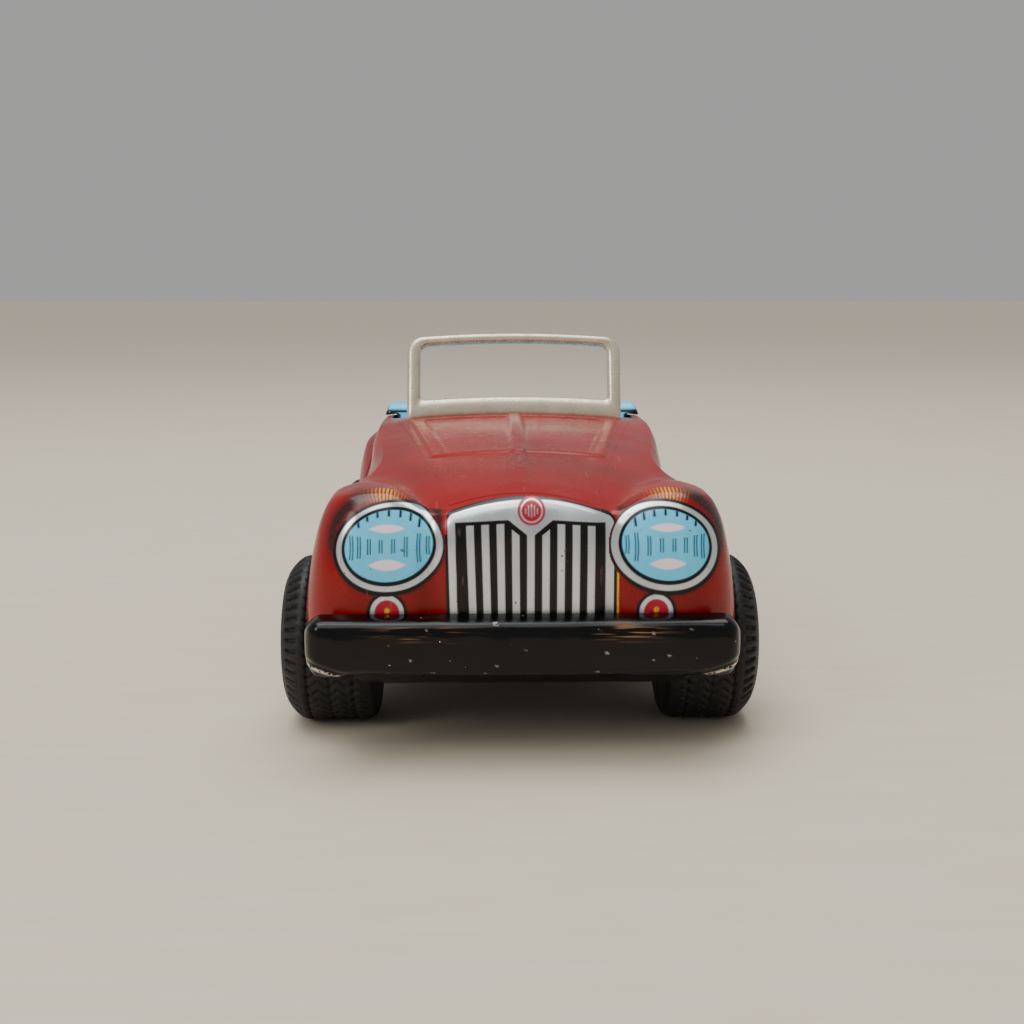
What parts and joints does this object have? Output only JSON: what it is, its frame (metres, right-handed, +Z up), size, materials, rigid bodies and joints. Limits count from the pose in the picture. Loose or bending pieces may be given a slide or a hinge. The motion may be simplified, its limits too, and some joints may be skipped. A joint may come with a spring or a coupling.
{
  "type": "friction tin car",
  "caption": "Pressed tin toy roadster with open cockpit, windscreen frame, rubber tyres and a geared flywheel motor on its rear axle.",
  "frame": {"origin": "on the ground, below the middle of the box around the car", "axes": "+Z up, the nose faces -Y, +X to the left of someone sitting in the car"},
  "size_m": [0.0732, 0.14, 0.0596],
  "materials": {
    "red_litho": "glossy varnished tin print",
    "blue_litho": "glossy varnished tin print",
    "black_enamel": "gloss stoved enamel",
    "plated": "warm nickel plating",
    "rubber_tyre": "matte moulded rubber",
    "wheel_plastic": "semi-matte",
    "bare_steel": "tinned steel",
    "gear_brass": "stamped brass",
    "flywheel_metal": "cast grey metal",
    "cream_plastic": "gloss moulded"
  },
  "bodies": {
    "car_body": {"body_shell": "red_litho", "base_pan": "black_enamel", "seat_pressing": "blue_litho", "windscreen_frame": "plated", "steering_column": "bare_steel", "front_axle_bracket": "bare_steel", "front_axle_washer_left": "bare_steel", "front_axle_washer_right": "bare_steel", "motor_plate_left": "bare_steel", "motor_plate_right": "bare_steel", "motor_pillar_front": "bare_steel", "motor_pillar_top": "bare_steel", "motor_pillar_rear": "bare_steel"},
    "front_wheelset": {"front_axle": "bare_steel", "front_tyre_left": "rubber_tyre", "front_tyre_right": "rubber_tyre", "front_hub_left": "wheel_plastic", "front_hub_right": "wheel_plastic", "front_hubcap_left": "plated", "front_hubcap_right": "plated"},
    "rear_wheelset": {"rear_axle": "bare_steel", "rear_tyre_left": "rubber_tyre", "rear_tyre_right": "rubber_tyre", "rear_hub_left": "wheel_plastic", "rear_hub_right": "wheel_plastic", "rear_hubcap_left": "plated", "rear_hubcap_right": "plated", "axle_gear": "gear_brass"},
    "lay_train": {"lay_arbor": "bare_steel", "lay_gear": "gear_brass"},
    "flywheel_train": {"flywheel_arbor": "bare_steel", "flywheel_left": "flywheel_metal", "flywheel_right": "flywheel_metal"},
    "steering_wheel_body": {"steering_wheel": "cream_plastic"}
  },
  "joints": [
    {"name": "front_wheels_roll", "type": "hinge", "parent": "car_body", "child": "front_wheelset", "pos_m": [0, -0.0447, 0.013], "axis": [1, 0, 0], "continuous": true},
    {"name": "rear_wheels_roll", "type": "hinge", "parent": "car_body", "child": "rear_wheelset", "pos_m": [0, 0.0403, 0.013], "axis": [1, 0, 0], "continuous": true},
    {"name": "lay_arbor_spin", "type": "hinge", "parent": "car_body", "child": "lay_train", "pos_m": [0, 0.03417, 0.01814], "axis": [1, 0, 0], "continuous": true},
    {"name": "flywheel_spin", "type": "hinge", "parent": "car_body", "child": "flywheel_train", "pos_m": [0, 0.02629, 0.01953], "axis": [1, 0, 0], "continuous": true},
    {"name": "steering_wheel_turn", "type": "hinge", "parent": "car_body", "child": "steering_wheel_body", "pos_m": [-0.011, 0.00456, 0.03997], "axis": [0, 0.848, 0.5299], "continuous": true}
  ],
  "couplings": [
    {"joint": "rear_wheels_roll", "follows": "flywheel_spin", "ratio": 0.11111},
    {"joint": "lay_arbor_spin", "follows": "flywheel_spin", "ratio": -0.33333}
  ]
}
